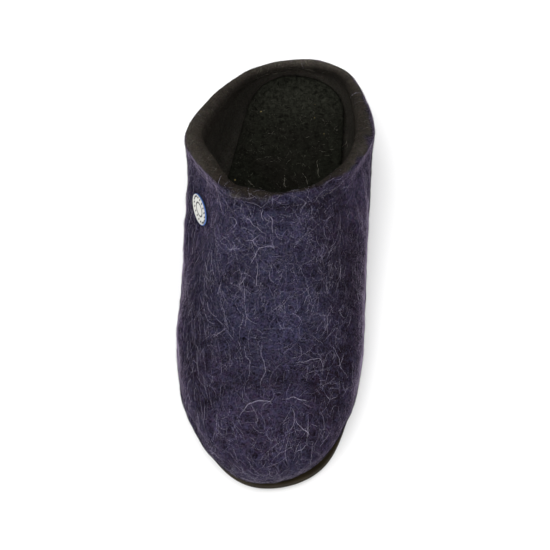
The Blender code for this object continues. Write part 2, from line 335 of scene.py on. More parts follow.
# Hairs that stand up from the front of the rim or lie inside the heel, as along, across and up
RIM_HAIRS = (
    ((122, 18, 85.5), (117, 17, 88), (113, 16, 90), (111, 17, 91)),
    ((126, 12, 87), (122, 10, 89), (119, 8, 90.5)),
    ((130, 0, 88.5), (126, -1.5, 90.5), (122, -1.5, 92)),
    ((129, -18, 86.5), (127, -20, 88), (125, -22, 89)),
    ((130, 19, 82), (128, 23, 83), (124.5, 28, 84.5)),
    ((6, 3, 24), (6.5, 6.5, 23.8), (7.5, 10, 23.6), (8.5, 13.5, 23.6), (9.5, 16, 24)),
    ((14, -21, 28.5), (11.5, -17.5, 27), (8.5, -11.5, 25), (6.5, -4, 24)),
    ((57, 30, 18.5), (54.5, 31.5, 19), (52, 33, 20)),
    ((58, 31, 18.5), (56, 33, 20), (52.5, 32.5, 20)),
    ((45, 27.5, 18.5), (44, 26, 18.6), (43.5, 24, 18.6)),
)

Fleece = namedtuple("Fleece", (
    "name count shortest longest thinnest thickest lift curl points rarity least seed"))

# Loose wool, drawn several times coarser than real wool hairs so that they show. Lengths, radii and the
# height that hairs stand off the felt are in millimetres; curl: turn in radians on each step;
# points: along each hair; rarity: power that makes pale hairs the rarer the higher it is;
# least: share of their paleness that hairs keep where the felt faces away from the lights, as painted shade
FLEECE = {
    "toe": Fleece("toe_fuzz", 7600, 2.5, 14.0, 0.013, 0.022, 0.8, 0.24, 6, 9.5, 0.03, 11),
    "vamp": Fleece("vamp_fuzz", 7600, 2.5, 14.0, 0.013, 0.022, 0.8, 0.24, 6, 9.5, 0.03, 12),
    "heel": Fleece("quarter_fuzz", 7600, 2.5, 14.0, 0.013, 0.022, 0.8, 0.24, 6, 9.5, 0.03, 13),
    "rim": Fleece("lining_fuzz", 5400, 1.6, 9.0, 0.013, 0.022, 0.9, 0.35, 6, 8, 0.03, 14),
    "insole": Fleece("insole_fuzz", 3000, 1.5, 7.0, 0.01, 0.016, 0.5, 0.4, 5, 16, 0.03, 15),
    "guard": Fleece("guard_hairs", 1000, 5.0, 20.0, 0.016, 0.03, 1.2, 0.16, 9, 2.8, 0.03, 16),
    "side": Fleece("side_hairs", 1400, 4.0, 14.0, 0.016, 0.03, 1.0, 0.2, 5, 3, 0.8, 17),
}

# Where loose wool lies: along the foot from the toe and to the heel, in rows up to the rim and inside it, on
# the insole by distances from the slipper's middle, and past this share of the badge's oval
TOE_FUZZ_START = 196.0
HEEL_FUZZ_END = 112.0
GUARD_ROWS_BELOW_RIM = 2
LINING_FUZZ_ROWS = 24
INSOLE_FUZZ = (0, 118)
INSOLE_FUZZ_THICKENS = (20, 90)
HAIRS_OFF_BADGE = 1.06

# How thick loose wool lies, against one where the felt fully faces the lights: where it faces away, along the
# low edge of the toe, at least at the heel and on the insole, and the shares lost in the painted shade line
# under the collar and at the rim's front
THICK_UNLIT = 0.1
THICK_LOW_EDGE = 9
THICK_HEEL = 0.2
THICK_INSOLE = 0.3
COLLAR_LINE_THINNING = 0.9
RIM_FRONT_THINNING = 0.7

# How loose hairs run: shortest step between ribs, random turn on each step as a share of the curl, height
# above the felt at the root, least share of the lift at the tip, and how far they bow up at most. Those on
# the insole lie on a grid between two shares of the way across it, a little above its edge.
LEAST_RIB_STEP = 0.05
HAIR_WANDER = 0.9
HAIR_ROOT_UP = 0.05
HAIR_LEAST_STAND = 0.05
HAIR_BOW = 0.25
INSOLE_TOP_SHARES = (0.02, 0.98)
INSOLE_FUZZ_UP = 0.2

# Hairs placed one by one: points along each, radii, and the wave of their crimp. Those on the vamp lie on the
# mean height of the felt within this reach that faces up this far, lifted at their ends and arched between
CLEAR_HAIR_POINTS = 20
CLEAR_HAIR_RADIUS = 0.038
FAINT_HAIR_RADIUS = 0.025
RIM_HAIR_RADIUS = 0.018
CRIMP = 0.3
CRIMP_LENGTH = 6.0
CLEAR_HAIR_REACH = 1.5
VAMP_FACES_UP = 0.05
CLEAR_HAIR_UP = 0.3
CLEAR_HAIR_ARCH = 0.5

# Camera: where it stands from the slipper, in degrees and millimetres, and the point that it looks at
CAMERA_UP = 62.0
CAMERA_ROUND = 3.5
CAMERA_AWAY = 1000.0
CAMERA_LENS = 114.2
CAMERA_AIM = (2.0, -18.9, 37.8)

Softbox = namedtuple("Softbox", "name where size power")

# Studio: soft lights with their places in millimetres, sizes in metres and watts, the point that they face,
# the strength of the white room and how far the floor reaches in metres
SOFTBOXES = (
    Softbox("softbox_above", (-250, -350, 1400), 1.4, 19.0),
    Softbox("softbox_front", (200, -1400, 900), 1.2, 9.0),
)
SOFTBOX_AIM = (0, 0, 40)
ROOM_STRENGTH = 0.85
FLOOR_REACH = 6


# The last

def column(name):
    """One named column of the rib table as an array."""
    return np.array([getattr(rib, name) for rib in RIBS], dtype=float)


def turn_of(share, side):
    """Angle round the last of a point at this share of the length: 0 at the heel, half a turn at the toe."""
    turn = np.arccos(np.clip(1 - 2 * share, -1, 1))
    return np.where(side < 0, 2 * np.pi - turn, turn)


def closed_spline(knots, values, at):
    """Smooth closed curve through values at the knot angles: cubic pieces with equal bends at the knots."""
    count = len(knots)
    step = np.diff(np.append(knots, knots[0] + 2 * np.pi))
    here = np.arange(count)
    after = (here + 1) % count
    slope = (values[after] - values) / step
    system = np.zeros((count, count))
    system[here, here - 1] = step[here - 1] / 6
    system[here, here] = (step[here - 1] + step) / 3
    system[here, after] = step / 6
    bend = np.linalg.solve(system, slope - slope[here - 1])
    piece = np.searchsorted(knots, at, side="right") - 1
    width = step[piece]
    right = (at - knots[piece]) / width
    left = 1 - right
    ends = left * values[piece] + right * values[after[piece]]
    curve = (left ** 3 - left) * bend[piece] + (right ** 3 - right) * bend[after[piece]]
    return ends + curve * width ** 2 / 6


def round_the_last(name, angles):
    """A column of the rib table, carried smoothly all the way round the last."""
    return closed_spline(turn_of(column("share"), column("side")), column(name), angles)


def even_angles(count):
    """Equal steps of angle all round."""
    return 2 * np.pi * np.arange(count) / count


def share_of(angles):
    """Share of the length at each angle, the same on the inner and the outer side."""
    return (1 - np.cos(angles)) / 2


def outward(loop):
    """Level normals of a closed loop, pointing away from the foot."""
    along = np.roll(loop, -1, axis=0) - np.roll(loop, 1, axis=0)
    normal = np.stack([-along[:, 1], along[:, 0]], axis=1)
    return normal / np.linalg.norm(normal, axis=1, keepdims=True)


def place(across, along, up):
    """Points from their distance across, their distance from the heel and their height."""
    return np.stack([across, LENGTH / 2 - along, up + 0 * across], axis=-1)


def sole_outline(inset, count):
    """Sole outline moved inwards by an inset that runs evenly from heel to toe.

    Its points are spread again, so that one on the inner and one on the outer side stand at equal
    distances from the heel. Returns the distances across and along.
    """
    angles = even_angles(OUTLINE_COUNT)
    share = share_of(angles)
    edge = np.stack([round_the_last("sole", angles), -(SOLE_START + SOLE_LENGTH * share)], axis=1)
    edge = edge - (inset[0] + (inset[1] - inset[0]) * share)[:, None] * outward(edge)
    along = -edge[:, 1]
    first, last = along[0], along[OUTLINE_COUNT // 2]
    turn = turn_of((along - first) / (last - first), np.where(angles > np.pi, -1, 1))
    ribs = even_angles(count)
    across = np.interp(ribs, np.append(turn, 2 * np.pi), np.append(edge[:, 0], edge[0, 0]))
    return across, first + (last - first) * share_of(ribs)


def ground(along):
    """Height of the underside: flat from heel to ball, then a parabola up to the toe spring."""
    rise = np.clip((along - SPRING_START) / (LENGTH - SPRING_START), 0, None)
    return TOE_SPRING * rise ** 2


def sole_ring(inset, height, count=RIB_COUNT):
    """Ring of points along an inset of the sole outline, at a height above the underside."""
    across, along = sole_outline(inset, count)
    return place(across, along, ground(along) + height)


def bowl(edge, girth, rows):
    """Quarter ellipse on each rib from a level start at the edge to an upright end at the girth."""
    turn = np.linspace(0, np.pi / 2, rows)[:, None, None]
    level = edge + (girth - edge) * np.sin(turn)
    rising = edge + (girth - edge) * (1 - np.cos(turn))
    return np.concatenate([level[..., :2], rising[..., 2:]], axis=2)


def grid_normals(grid):
    """Unit normals of a grid of rings, as the cross product of its steps up and round."""
    round_way = np.roll(grid, -1, axis=1) - np.roll(grid, 1, axis=1)
    up_way = np.gradient(grid, axis=0, edge_order=2)
    normal = np.cross(up_way, round_way)
    return normal / np.maximum(np.linalg.norm(normal, axis=2, keepdims=True), 1e-9)


def last_rings():
    """Rings of the smooth upper: felt bottom, outside wall, rim, inside wall and inside floor.

    The wall on each rib is a cubic curve that leaves the girth straight up and meets the collar at its
    flare. The rim is a half ellipse over the collar. Returns the rings and the row where the rim starts.
    """
    angles = even_angles(RIB_COUNT)
    girth_across, girth_up = round_the_last("girth", angles), round_the_last("girth_up", angles)
    girth = place(girth_across, LENGTH * share_of(angles), girth_up)
    collar = place(*(round_the_last(name, angles) for name in ("collar", "collar_at", "collar_up")))
    flare = np.radians(round_the_last("flare", angles))[:, None]
    away = np.pad(outward(collar[:, :2]), ((0, 0), (0, 1)))
    upright = np.array([0.0, 0.0, 1.0])
    lean = away * np.sin(flare) + upright * np.cos(flare)
    above = girth + upright * round_the_last("rise", angles)[:, None]
    below = collar - lean * round_the_last("reach", angles)[:, None]
    t = np.linspace(0, 1, WALL_ROWS)[:, None, None]
    rows = (1 - t) ** 3 * girth + 3 * (1 - t) ** 2 * t * above
    rows = rows + 3 * (1 - t) * t ** 2 * below + t ** 3 * collar
    normal = grid_normals(rows)
    wall = round_the_last("wall", angles)[:, None]
    inside = rows - normal * wall
    underside = SOLE_THICK + GAP
    outer_low = bowl(sole_ring(FELT_EDGE_INSET, underside), rows[0], LOW_ROWS)
    inner_low = bowl(sole_ring(FLOOR_EDGE_INSET, underside + FELT_BOTTOM), inside[0], LOW_ROWS)
    turn = np.linspace(0, np.pi, RIM_ROWS)[1:-1, None, None]
    rim = collar - normal[-1] * wall / 2 * (1 - np.cos(turn)) + lean * RIM_RISE * np.sin(turn)
    every_second_inside = inside[:0:-2]
    rings = np.concatenate([outer_low, rows[1:], rim, every_second_inside, inner_low[::-1]])
    return rings, LOW_ROWS + WALL_ROWS - 1


# The felt

def lumps(points, kinds):
    """Soft lumps: for each kind, the sum of sine waves of about its size in random directions."""
    total = 0
    for kind in kinds:
        rng = np.random.default_rng(kind.seed)
        way = rng.normal(size=(LUMP_WAVES, 3))
        way /= np.linalg.norm(way, axis=1, keepdims=True)
        wave = way / (kind.size * rng.uniform(*WAVE_SHARES, LUMP_WAVES))[:, None] * 2 * np.pi
        waves = np.sin(points @ wave.T + rng.uniform(0, 2 * np.pi, LUMP_WAVES)).sum(axis=-1)
        total = total + kind.height * waves / np.sqrt(LUMP_WAVES / 2)
    return total


def smooth_step(value, low, high):
    """0 below low, 1 above high, with level ends between."""
    share = np.clip((value - low) / (high - low), 0, 1)
    return share * share * (3 - 2 * share)


def bell(value, middle, width):
    """Bell curve: e to the power of minus the square of the distance from its middle over its width."""
    return np.exp(-((value - middle) / width) ** 2)


def plan_distance(points, line):
    """Level distance from points to a line of along and across pairs, the least over its stretches."""
    line = np.array(line, dtype=float)
    ends = np.stack([line[:, 1] + MIDDLE[0], LENGTH / 2 - line[:, 0] + MIDDLE[1]], axis=1)
    start, way = ends[:-1], np.diff(ends, axis=0)
    off = points[..., None, :2] - start
    share = np.clip((off * way).sum(-1) / (way ** 2).sum(-1), 0, 1)
    return np.linalg.norm(off - share[..., None] * way, axis=-1).min(axis=-1)


def way_up(rings):
    """Distance along each rib from the bottom edge outside to each ring, as the sum of its steps."""
    step = np.linalg.norm(np.diff(rings, axis=0), axis=2)
    return np.concatenate([np.zeros((1, RIB_COUNT)), np.cumsum(step, axis=0)])


def felt_relief(rings, rim_row, from_badge):
    """How far the felt stands out from the smooth last at each grid point.

    Lumps, the finer ones fading towards the rim, less the soft troughs of the creases. At the front a trough
    runs under the collar with a low band above it, and the rim lies flatter. All that dies away at the
    bottom edges outside and inside, and under the badge. Last come a shallow ring round the badge and the
    tuck above the sole.
    """
    row = np.arange(len(rings))[:, None]
    turn = even_angles(RIB_COUNT)
    outside = row < rim_row
    fine_share = 1 - FINE_LUMPS_LOST * smooth_step(row, rim_row - FINE_FADE_ROWS, rim_row)
    relief = lumps(rings, BROAD_LUMPS) + lumps(rings, FINE_LUMPS) * fine_share
    facing_up = grid_normals(rings)[..., 2] > 0
    for crease in CREASES:
        trough = crease.depth * bell(plan_distance(rings, crease.line), 0, crease.width)
        relief -= np.where(outside & facing_up, trough, 0)
    run = way_up(rings)
    down = run[rim_row] - run
    trough = COLLAR_TROUGH_DEPTH * bell(down, COLLAR_TROUGH_DOWN, COLLAR_TROUGH_WIDTH)
    band = COLLAR_BAND_RISE * bell(down, COLLAR_TROUGH_DOWN / 3, COLLAR_TROUGH_WIDTH)
    relief += bell(turn, np.pi, COLLAR_TROUGH_SPREAD) * np.where(outside, band - trough, 0)
    over_rim = np.sin(np.pi * np.clip((row - rim_row) / (RIM_ROWS - 1), 0, 1))
    relief -= RIM_FLAT * over_rim * bell(turn, np.pi, RIM_FLAT_SPREAD)
    relief *= smooth_step(run, 0, BOTTOM_FADE) * smooth_step(run[-1] - run, 0, BOTTOM_FADE)
    relief *= smooth_step(from_badge, 1.0, BADGE_PRESS)
    ring = BADGE_RING_DEPTH * bell(from_badge, BADGE_RING_AT, BADGE_RING_WIDTH)
    tuck = bell(turn, TOE_TUCK_TURN, TOE_TUCK_SPREAD) * bell(run, TOE_TUCK_UP, TOE_TUCK_WIDTH)
    tuck = TOE_TUCK * tuck * smooth_step(run, 0, TOE_TUCK_START)
    return relief - np.where(outside, ring + tuck, 0)


def batt_wool(felt):
    """Plum and paler wool that the batts bring to each point, each as a bell round the batt's place.

    The place is taken as a line of a tenth of a millimetre, as distances are worked out to lines.
    """
    plum = light = np.zeros(felt.shape[:2])
    for batt in BATTS:
        short_stretch = ((batt.along, batt.across), (batt.along - 0.1, batt.across))
        near = bell(plan_distance(felt, short_stretch), 0, batt.radius)
        plum, light = plum + batt.plum * near, light + batt.light * near
    return plum, light


def brushed(points, normal):
    """How far the felt faces the lights: fully on top and at the front of the toe, not at all on upright
    sides.

    The upward part of the normal counts, with shares of its outward and forward parts, or the forward part
    alone where that counts for more. So it counts as lit further down on the outer side, most at the toe. It
    paints light and shade on loose hairs and pale lines, and sets how thick hairs lie.
    """
    outward_part, forward = np.clip(-normal[..., 0], 0, None), np.clip(-normal[..., 1], 0, None)
    outward_share = LIT_OUTWARD + LIT_TOE * smooth_step(-points[..., 1], *LIT_TOE_FRONT)
    upward = normal[..., 2] + outward_share * outward_part
    return smooth_step(np.maximum(upward + LIT_FORWARD * forward, LIT_UPRIGHT * forward), *LIT_LIMITS)


# The badge's place

Seat = namedtuple("Seat", "middle lengthways upwards axis on_felt")


def second_powers(dy, dz):
    """Terms of a second-power surface over two distances, up to their squares and product."""
    return np.stack([1 + 0 * dy, dy, dz, dy * dy, dy * dz, dz * dz], axis=-1)


def badge_seat(rings, rim_row):
    """Where the badge sits: the middle, the two ways across it, its axis, and the felt surface under it.

    The felt near the badge is taken as a bowl: the distance sideways is a second-power surface over the
    distances along and up, fitted to the grid points round the badge.
    """
    wall = rings[:rim_row].reshape(-1, 3)
    y, z = LENGTH / 2 - BADGE_ALONG + MIDDLE[1], BADGE_UP
    near = (np.hypot(wall[:, 1] - y, wall[:, 2] - z) < BADGE_SEAT_REACH) & (wall[:, 0] < 0)
    fit = np.linalg.lstsq(second_powers(wall[near, 1] - y, wall[near, 2] - z), wall[near, 0], rcond=None)[0]
    middle = np.array([fit[0], y, z])
    axis = np.array([-1.0, fit[1], fit[2]])
    axis /= np.linalg.norm(axis)
    level = np.cross(axis, [0.0, 0.0, 1.0])
    level /= np.linalg.norm(level)
    turn = np.radians(BADGE_TURN)
    lengthways = level * np.cos(turn) + np.cross(axis, level) * np.sin(turn)
    upwards = np.cross(lengthways, axis)

    def on_felt(length, height):
        """Points of the felt under points of the badge, dropped along the axis in two corrections."""
        spot = middle + length[..., None] * lengthways + height[..., None] * upwards
        for _ in range(2):
            off = spot[..., 0] - second_powers(spot[..., 1] - y, spot[..., 2] - z) @ fit
            spot = spot - (off / axis[0])[..., None] * axis
        return spot

    return Seat(middle, lengthways, upwards, axis, on_felt)


def badge_share(points, seat):
    """How far out from the middle of the badge points stand, as a share of its oval edge.

    Points far off along its axis, as on the other side of the foot, count as well clear of it.
    """
    off = points - seat.middle
    share = np.hypot(off @ seat.lengthways / (BADGE_LENGTH / 2), off @ seat.upwards / (BADGE_HEIGHT / 2))
    return np.where(np.abs(off @ seat.axis) < BADGE_LENGTH / 2, share, CLEAR_OF_BADGE)


# Meshes

def strip_faces(ring_count, side_count):
    """Four-sided faces between neighbouring rings."""
    ring, side = np.meshgrid(np.arange(ring_count - 1), np.arange(side_count), indexing="ij")
    here = ring * side_count + side
    after = ring * side_count + (side + 1) % side_count
    return np.stack([here, here + side_count, after + side_count, after], axis=2).reshape(-1, 4)


def ladder_faces(start, side_count):
    """Cap of a ring, as rungs from the inner side straight across to the outer side, facing down."""
    half = side_count // 2
    rung = np.arange(1, half - 1)
    rungs = start + np.stack([rung, rung + 1, side_count - rung - 1, side_count - rung], axis=1)
    ends = [[start, start + 1, start + side_count - 1], [start + half - 1, start + half, start + half + 1]]
    return rungs.tolist() + ends


def slab_rings(inset, low, high, rounding):
    """Rings of a slab that follows the underside: out over the bottom, up the eased edge, in over the top.

    Rings on the bottom and the top are shares of the way from the middle line to the edge.
    """
    turn = np.linspace(0, np.pi / 2, EDGE_ROWS)
    side = [(rounding * (1 - np.sin(t)), low + rounding * (1 - np.cos(t))) for t in turn]
    side += [(rounding * (1 - np.sin(t)), high - rounding * (1 - np.cos(t))) for t in turn[::-1]]
    edge = np.stack([
        sole_ring((inset[0] + move, inset[1] + move), height, SLAB_RIBS) for move, height in side])
    shares = np.linspace(0, 1, SLAB_ROWS)[:-1, None, None]
    across_from = np.roll(edge[:, ::-1], 1, axis=1)
    spine = (edge + across_from) / 2
    bottom = spine[0] + (edge[0] - spine[0]) * shares
    top = spine[-1] + (edge[-1] - spine[-1]) * shares[::-1]
    return np.concatenate([bottom, edge, top])


def add_piece(name, points, faces, materials, slot, node=None, weld=False, finish=None, **attributes):
    """One mesh that rides on the slipper's body, with its materials and point attributes.

    finish: which of the materials each face has, the first one if it isn't given.
    """
    mesh = bpy.data.meshes.new(name)
    mesh.from_pydata((points.reshape(-1, 3) * METRE).tolist(), [], faces)
    for material in materials:
        mesh.materials.append(material)
    if finish is not None:
        mesh.polygons.foreach_set("material_index", finish)
    for key, values in attributes.items():
        attribute = mesh.attributes.new(key, "FLOAT", "POINT")
        attribute.data.foreach_set("value", np.ravel(values).astype(np.float32))
    if weld:
        work = bmesh.new()
        work.from_mesh(mesh)
        bmesh.ops.remove_doubles(work, verts=work.verts, dist=WELD * METRE)
        work.to_mesh(mesh)
        work.free()
    mesh.validate()
    mesh.shade_smooth()
    made = bpy.data.objects.new(name, mesh)
    bpy.context.collection.objects.link(made)
    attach(made, "root")
    if node:
        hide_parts(node)


# Loose wool

def on_grid(grid, row, rib):
    """Value of a grid at broken rows and ribs, from the four corners round each; ribs run on past the end."""
    row = np.clip(row, 0, grid.shape[0] - 1.001)
    low, left = np.floor(row).astype(int), np.floor(rib).astype(int)
    up, over = (row - low)[..., None], (rib - left)[..., None]
    left, right = left % grid.shape[1], (left + 1) % grid.shape[1]
    lower = (1 - over) * grid[low, left] + over * grid[low, right]
    upper = (1 - over) * grid[low + 1, left] + over * grid[low + 1, right]
    return (1 - up) * lower + up * upper


def hair_paths(fleece, grid, weight):
    """Paths of loose hairs over a grid, and the way up at each of their points.

    Hairs start at random, as many on each patch as its area times the weight. Each walks on over the
    surface with a heading that turns by a steady curl and a small random turn. It lies close to the felt
    at its root, bows up a little, and stands off the felt more and more towards its tip.
    """
    rng = np.random.default_rng(fleece.seed)
    row_step = np.linalg.norm(np.gradient(grid, axis=0), axis=2, keepdims=True)
    rib_way = (np.roll(grid, -1, axis=1) - np.roll(grid, 1, axis=1)) / 2
    rib_step = np.maximum(np.linalg.norm(rib_way, axis=2, keepdims=True), LEAST_RIB_STEP)
    chance = (row_step * rib_step)[..., 0] * weight
    start = rng.choice(chance.size, fleece.count, p=(chance / chance.sum()).ravel())
    row, rib = np.unravel_index(start, chance.shape)
    row, rib = row + rng.uniform(0, 1, fleece.count), rib + rng.uniform(0, 1, fleece.count)
    length = rng.uniform(fleece.shortest ** 0.5, fleece.longest ** 0.5, fleece.count) ** 2
    step = length / (fleece.points - 1)
    heading = rng.uniform(0, 2 * np.pi, fleece.count)
    curl = rng.normal(0, fleece.curl, fleece.count)
    rows, ribs = [], []
    for _ in range(fleece.points):
        rows.append(row)
        ribs.append(rib)
        row = row + step * np.sin(heading) / on_grid(row_step, row, rib)[:, 0]
        rib = rib + step * np.cos(heading) / on_grid(rib_step, row, rib)[:, 0]
        heading = heading + curl + rng.normal(0, HAIR_WANDER * fleece.curl, fleece.count)
    rows, ribs = np.stack(rows, axis=1), np.stack(ribs, axis=1)
    up = on_grid(grid_normals(grid), rows, ribs)
    share = np.linspace(0, 1, fleece.points)
    stand = rng.uniform(HAIR_LEAST_STAND, 1, (fleece.count, 1)) ** 2 * fleece.lift
    bow = rng.uniform(0, HAIR_BOW, (fleece.count, 1)) * np.sin(np.pi * share)
    lift = HAIR_ROOT_UP + stand * share ** 1.5 + bow
    return on_grid(grid, rows, ribs) + lift[..., None] * up, up


def spindles(paths, up, radius):
    """Three-sided hairs along paths, thickest in the middle and running out to a point at both ends."""
    count, points = paths.shape[:2]
    way = np.gradient(paths, axis=1)
    side = np.cross(way, up)
    side /= np.maximum(np.linalg.norm(side, axis=2, keepdims=True), 1e-9)
    rise = np.cross(side, way)
    rise /= np.maximum(np.linalg.norm(rise, axis=2, keepdims=True), 1e-9)
    taper = np.sin(np.pi * np.linspace(0, 1, points)[1:-1]) ** 0.5
    swell = (radius[:, None] * taper)[..., None, None]
    turn = even_angles(3)[:, None]
    ring = side[:, 1:-1, None] * np.cos(turn) + rise[:, 1:-1, None] * np.sin(turn)
    body = (paths[:, 1:-1, None] + swell * ring).reshape(count, -1, 3)
    mesh = np.concatenate([paths[:, :1], body, paths[:, -1:]], axis=1)
    corner = np.arange(3)
    after = (corner + 1) % 3
    ring_start = 1 + 3 * np.arange(points - 3)[:, None]
    here, there = ring_start + corner, ring_start + after
    last = 1 + 3 * (points - 3)
    one = np.concatenate([
        np.stack([0 * corner, after + 1, corner + 1], axis=1),
        np.stack([here, there, there + 3], axis=2).reshape(-1, 3),
        np.stack([here, there + 3, here + 3], axis=2).reshape(-1, 3),
        np.stack([last + corner, last + after, 0 * corner + last + 3], axis=1),
    ])
    faces = one + np.arange(count)[:, None, None] * mesh.shape[1]
    return mesh.reshape(-1, 3), faces.reshape(-1, 3).tolist()


def add_fleece(fleece, paths, up, material, slot):
    """One piece of loose hairs, each of one tone: many near the felt's own colour and a few pale.

    The tone is a random share to the power of the rarity, less where the felt under the root faces away from
    the lights: painted shade.
    """
    rng = np.random.default_rng(fleece.seed + 100)
    count = len(paths)
    tone = rng.uniform(0, 1, count) ** fleece.rarity
    tone *= fleece.least + (1 - fleece.least) * brushed(paths[:, 0], up[:, 0])
    points, faces = spindles(paths, up, rng.uniform(fleece.thinnest, fleece.thickest, count))
    add_piece(fleece.name, points, faces, [material], slot, tone=np.repeat(tone, len(points) // count))


def hair_curve(line, count):
    """Curve through places given as along, across and perhaps up.

    Between the places it is a cubic whose slope at each is that from the place before to the place after.
    The crimp of wool is a small sine wave to the left and right of it, seen from above.
    """
    line = np.array(line, dtype=float)
    padded = np.concatenate([2 * line[:1] - line[1:2], line, 2 * line[-1:] - line[-2:-1]])
    at = np.linspace(0, len(line) - 1.001, count)
    piece, t = np.floor(at).astype(int), (at % 1)[:, None]
    a, b, c, d = (padded[piece + k] for k in range(4))
    curve = b + t * ((c - a) + t * (2 * a - 5 * b + 4 * c - d + t * (3 * (b - c) + d - a))) / 2
    way = np.gradient(curve[:, :2], axis=0)
    stride = np.linalg.norm(way, axis=1)
    sideways = np.stack([-way[:, 1], way[:, 0]], axis=1) / stride[:, None]
    wave = np.sin(2 * np.pi * np.cumsum(stride) / CRIMP_LENGTH + line[0, 0])
    curve[:, :2] += sideways * (CRIMP * wave)[:, None]
    return curve


def clear_hair(line, wall):
    """One clear hair: at its own height where that is given, or else on the mean height of nearby felt."""
    curve = hair_curve(line, CLEAR_HAIR_POINTS)
    path = place(curve[:, 1], curve[:, 0], curve[:, 2] if curve.shape[1] == 3 else 0) + MIDDLE
    if curve.shape[1] == 2:
        near = np.exp(-((path[:, None, :2] - wall[None, :, :2]) ** 2).sum(-1) / CLEAR_HAIR_REACH ** 2)
        arch = CLEAR_HAIR_UP + CLEAR_HAIR_ARCH * np.sin(np.linspace(0, np.pi, CLEAR_HAIR_POINTS))
        path[:, 2] = (near * wall[:, 2]).sum(1) / near.sum(1) + arch
    return path


# Finishes

# Sockets of a mix of two colours, its settings, and the looks of a surface without any gloss
SHARE, FIRST, SECOND = 0, 6, 7
COLOUR_MIX = {"output": 2, "data_type": "RGBA"}
MATT = {"Roughness": 1.0, "Specular IOR Level": 0.0}


def colour(code):
    """Linear colour from an sRGB hex value."""
    srgb = np.array([int(code[i:i + 2], 16) for i in (1, 3, 5)]) / 255
    return (*np.where(srgb <= 0.04045, srgb / 12.92, ((srgb + 0.055) / 1.055) ** 2.4), 1.0)


def per_metre(size):
    """Pattern scale whose features are about this many millimetres apart."""
    return 1 / (size * METRE)


def add(tree, kind, inputs, output=0, **settings):
    """Adds one node with its settings, feeds its inputs with values or outputs, and gives one output."""
    made = tree.nodes.new("ShaderNode" + kind)
    for name, value in settings.items():
        setattr(made, name, value)
    for key, value in inputs.items():
        if isinstance(value, bpy.types.NodeSocket):
            tree.links.new(value, made.inputs[key])
        else:
            made.inputs[key].default_value = value
    return made.outputs[output] if made.outputs else None


def blank_material(name):
    """A new material with an empty tree."""
    made = bpy.data.materials.new(name)
    made.use_nodes = True
    made.node_tree.nodes.clear()
    return made, made.node_tree


def with_surface(made, tree, looks):
    """Ends a material with one surface of these looks, and gives the material."""
    surface = add(tree, "BsdfPrincipled", looks)
    add(tree, "OutputMaterial", {"Surface": surface})
    return made


